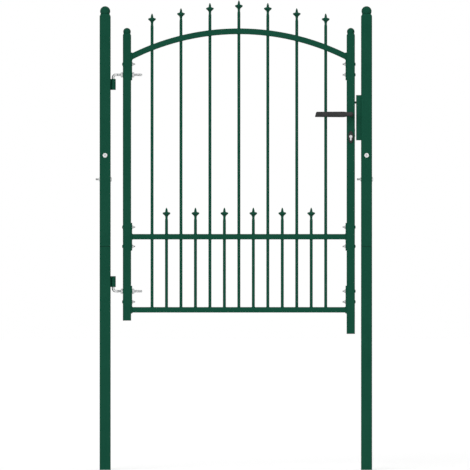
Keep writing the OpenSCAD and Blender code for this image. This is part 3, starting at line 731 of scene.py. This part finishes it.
weld = {
    "rail": 1.7,  # radius of the bead round the end of a rail
    "bar": 1.0,
    "seat": 1.6,
    "ripple": 0.16,  # share by which the radius swells
    "step": 1.9,  # length of one ripple
    "lineRings": 3,  # rings per millimetre of a straight bead
    "endRings": 8,
    "barSteps": 40,  # rings round a bar
    "barSides": 8,
    "crease": 70,  # edges up to this angle are shaded smooth
    "railSide": 20.0,
    "railCorner": 2.0,
    "barRadius": 5.5,
    "archSide": 21.0,
    "archRise": 91.9,
    "seatHalf": 4.5,  # half the width of a barrel's seat
    "seatEnd": 1.0,  # from the ends of a barrel
    "stitch": 24.0,  # length of a bead on the strike
    "stitchEnd": 6.0,  # from the ends of the strike
    "stitches": 3,
}


def beadLoop(path, radius, segments=10):
    # a round bead carried along a closed line; its radius swells and shrinks along the way
    ahead = np.roll(path, -1, 0) - np.roll(path, 1, 0)
    ahead /= np.linalg.norm(ahead, axis=1, keepdims=True)
    run = np.cumsum(np.linalg.norm(np.roll(path, -1, 0) - path, axis=1))
    turns = max(1, round(run[-1] / weld["step"]))
    swell = radius * (1 + weld["ripple"] * np.sin(2 * np.pi * turns * run / run[-1]))
    inward = path.mean(0) - path
    inward -= np.sum(inward * ahead, 1, keepdims=True) * ahead
    inward /= np.linalg.norm(inward, axis=1, keepdims=True)
    third = np.cross(ahead, inward)
    t = fullTurn(segments)[None, :, None]
    ring = inward[:, None] * np.cos(t) + third[:, None] * np.sin(t)
    return shell(path[:, None] + ring * swell[:, None, None], True)


def beadLine(start, length, radius, segments=10):
    # a bead carried straight up, with round ends; its rings lie closer together near the ends
    count = int(length * weld["lineRings"]) + weld["endRings"]
    run = (1 - np.cos(np.linspace(0, np.pi, count))) / 2 * length
    fromEnd = np.clip(radius - np.minimum(run, length - run), 0, None) / radius
    smallest = 0.002  # keeps the end rings open
    swell = radius * np.sqrt(np.clip(1 - fromEnd ** 2, smallest, 1))
    swell = swell * (1 + weld["ripple"] * np.sin(2 * np.pi * run / weld["step"]))
    rings = ringsOf(swell[:, None] * np.ones(segments), run, fullTurn(segments))
    return shell(place(rings, start, "z"))


def roundedLoop(width, height, corner, count=140):
    # a rectangle with round corners, walked at an even pace
    t = np.radians(np.linspace(0, 90, 9) + np.array([[0], [90], [180], [270]]))
    signX, signY = np.array([[1], [-1], [-1], [1]]), np.array([[1], [1], [-1], [-1]])
    x = (signX * (width / 2 - corner) + corner * np.cos(t)).ravel()
    y = (signY * (height / 2 - corner) + corner * np.sin(t)).ravel()
    x, y = np.append(x, x[0]), np.append(y, y[0])
    run = np.concatenate([[0], np.cumsum(np.hypot(np.diff(x), np.diff(y)))])
    even = np.linspace(0, run[-1], count, endpoint=False)
    return np.interp(even, run, x), np.interp(even, run, y)


archLow, archHigh = nodeBox("arch_rail")
archMid, archHalf = (archHigh[0] + archLow[0]) / 2, (archHigh[0] - archLow[0]) / 2
archRadius = (archHalf ** 2 + weld["archRise"] ** 2) / (2 * weld["archRise"])
halfArch = weld["archSide"] / 2
archCentreZ = archHigh[2] - halfArch - archRadius


def archZ(x, lift):
    # height of the arch's upper or lower side: a circle about the arch's centre
    return archCentreZ + np.sqrt((archRadius + lift) ** 2 - (x - archMid) ** 2)


def railBead(x, low, high, width):
    # a bead round the end of a rail, on the face of its plate
    y, z = roundedLoop(width, high - low, weld["railCorner"])
    return beadLoop(np.stack([np.full_like(y, x), y, (low + high) / 2 + z], -1), weld["rail"])


leafBeads = []
for x in (nodeBox("hinge_top_plate")[1][0], nodeBox("lock_top_plate")[0][0]):
    leafBeads.append(railBead(x, archZ(x, -halfArch), archZ(x, halfArch), weld["archSide"]))
    for node in ("middle_rail", "bottom_rail"):
        low, high = nodeBox(node)
        leafBeads.append(railBead(x, low[2], high[2], weld["railSide"]))

around = fullTurn(weld["barSteps"])
railSides = [nodeBox("bottom_rail")[1][2], *(end[2] for end in nodeBox("middle_rail"))]
for bar in [name for name in frame["nodes"] if "_bar_" in name]:
    low, high = nodeBox(bar)
    x = (low[0] + high[0]) / 2 + weld["barRadius"] * np.cos(around)
    y = weld["barRadius"] * np.sin(around)
    heights = [np.full_like(x, level) for level in railSides]
    if bar.startswith("tall"):
        heights += [archZ(x, halfArch), archZ(x, -halfArch)]
    paths = [np.stack([x, y, z], -1) for z in heights]
    leafBeads += [beadLoop(path, weld["bar"], weld["barSides"]) for path in paths]
makePiece("leaf_welds", leafBeads, "leaf", greenCoat, weld["crease"])

postBeads = []
for barrel in ("upper_hinge_barrel", "lower_hinge_barrel"):
    low, high = nodeBox(barrel)
    length = high[2] - low[2] - 2 * weld["seatEnd"]
    for y in (-weld["seatHalf"], weld["seatHalf"]):
        postBeads.append(beadLine((low[0], y, low[2] + weld["seatEnd"]), length, weld["seat"]))
low, high = nodeBox("strike_box")
firstZ, lastZ = low[2] + weld["stitchEnd"], high[2] - weld["stitchEnd"] - weld["stitch"]
for y in (low[1], high[1]):
    for z in np.linspace(firstZ, lastZ, weld["stitches"]):
        postBeads.append(beadLine((high[0], y, z), weld["stitch"], weld["seat"]))
makePiece("post_welds", postBeads, "posts", greenCoat, weld["crease"])

# near-black ring in the joint of each post: painted shadow in the seam's gap
seamShadow = {
    "recess": 0.3,  # from the post's faces
    "thick": 0.8,
    "height": 1.2,
    "edge": 0.2,  # bevel of the outer edges
    "postCorner": 3.0,
}


def seamShadowRings(post):
    # a small section carried round a square with round corners: each of its points draws one
    #  loop, inset from the post's faces and raised from the foot of the seam; the near-black
    #  ring is painted shadow in the gap between the two post sections
    low, high = nodeBox(post)
    near, edge, top = seamShadow["recess"], seamShadow["edge"], seamShadow["height"]
    deep = near + seamShadow["thick"]
    section = [(near + edge, 0), (near, edge), (near, top - edge),
               (near + edge, top), (deep, top), (deep, 0)]
    side, midX, footZ = high[0] - low[0], (low[0] + high[0]) / 2, low[2] - top
    rings = []
    for inset, rise in section:
        inner = side - 2 * inset
        x, y = roundedLoop(inner, inner, seamShadow["postCorner"] - inset)
        rings.append(np.stack([midX + x, y, np.full_like(x, footZ + rise)], -1))
    return np.stack(rings)


# painted shade: dark rings where shadow falls in the gap between the post sections
seamShadowShells = [shell(seamShadowRings(post), True) for post in ("hinge_post_upper", "latch_post_upper")]
makePiece("post_seam_shadows", seamShadowShells, "posts", seamShadowBlack)

studio = {
    "middle": (0.4769, 0.8624),  # X and Z at the middle of the picture
    "frameWidth": 1.7262,  # what the picture spans at the gate
    "distance": 24.0,
    "key": ((-0.45, -0.8, 0.4), 2.0, 45),  # where it comes from, strength, spread in degrees
    "fill": ((0.8, -0.6, 0.15), 1.1, 50),
    "back": ((0.1, 0.95, 0.35), 1.5, 40),
    "sky": 0.2,
    "floor": 0.65,
    "floorGlow": 0.58,
    "floorHalf": 30.0,
}

sensor = 36
camera = bpy.data.cameras.new("camera")
camera.sensor_width = sensor
camera.lens = sensor * studio["distance"] / studio["frameWidth"]
cameraObj = bpy.data.objects.new("camera", camera)
cameraObj.location = (studio["middle"][0], -studio["distance"], studio["middle"][1])
cameraObj.rotation_euler = (np.pi / 2, 0, 0)
scene.collection.objects.link(cameraObj)
scene.camera = cameraObj


def addLamp(name, towards, strength, spread):
    # a far, soft lamp, so that all of the gate and of the floor is lit alike
    lamp = bpy.data.lights.new(name, "SUN")
    lamp.energy = strength
    lamp.angle = np.radians(spread)
    obj = bpy.data.objects.new(name, lamp)
    obj.rotation_euler = Vector(towards).to_track_quat("Z", "Y").to_euler()
    obj.visible_glossy = False  # metal shows the white room instead
    scene.collection.objects.link(obj)


for lampName in ("key", "fill", "back"):
    addLamp(lampName + "_lamp", *studio[lampName])


def seenDirectly(tree):
    # 1 for what the camera sees, by itself or in metal and glass
    path = tree.nodes.new("ShaderNodeLightPath")
    value = path.outputs["Is Camera Ray"]
    for name in ("Is Glossy Ray", "Is Transmission Ray"):
        either = tree.nodes.new("ShaderNodeMath")
        either.operation = "MAXIMUM"
        tree.links.new(value, either.inputs[0])
        tree.links.new(path.outputs[name], either.inputs[1])
        value = either.outputs[0]
    return value


def chooseSeen(tree, unseen, seen, output):
    # one shader for what is seen, and another for the light that falls on the gate
    choose = tree.nodes.new("ShaderNodeMixShader")
    tree.links.new(seenDirectly(tree), choose.inputs[0])
    tree.links.new(unseen.outputs[0], choose.inputs[1])
    tree.links.new(seen.outputs[0], choose.inputs[2])
    tree.links.new(choose.outputs[0], tree.nodes[output].inputs["Surface"])


world = bpy.data.worlds.new("studio")
world.use_nodes = True
scene.world = world
skyLight = world.node_tree.nodes["Background"]
skyLight.inputs["Strength"].default_value = studio["sky"]
skyLight.inputs["Color"].default_value = (1, 1, 1, 1)
white = world.node_tree.nodes.new("ShaderNodeBackground")
white.inputs["Color"].default_value = (1, 1, 1, 1)
chooseSeen(world.node_tree, skyLight, white, "World Output")

half, shade = studio["floorHalf"], studio["floor"]
corners = [(-half, -half, 0), (half, -half, 0), (half, half, 0), (-half, half, 0)]
floorMesh = bpy.data.meshes.new("floor")
floorMesh.from_pydata(corners, [], [(0, 1, 2, 3)])
floorMat = bpy.data.materials.new("floor_white")
floorMat.use_nodes = True
tree = floorMat.node_tree
matte = tree.nodes["Principled BSDF"]
matte.inputs["Base Color"].default_value = (shade, shade, shade, 1)
matte.inputs["Roughness"].default_value = 1
matte.inputs["Specular IOR Level"].default_value = 0
glow = tree.nodes.new("ShaderNodeEmission")
glow.inputs["Strength"].default_value = studio["floorGlow"]
both = tree.nodes.new("ShaderNodeAddShader")
tree.links.new(matte.outputs[0], both.inputs[0])
tree.links.new(glow.outputs[0], both.inputs[1])
chooseSeen(tree, matte, both, "Material Output")
floorMesh.materials.append(floorMat)
floor = bpy.data.objects.new("floor", floorMesh)
scene.collection.objects.link(floor)
scene.view_settings.view_transform = "Standard"
print("studio set")
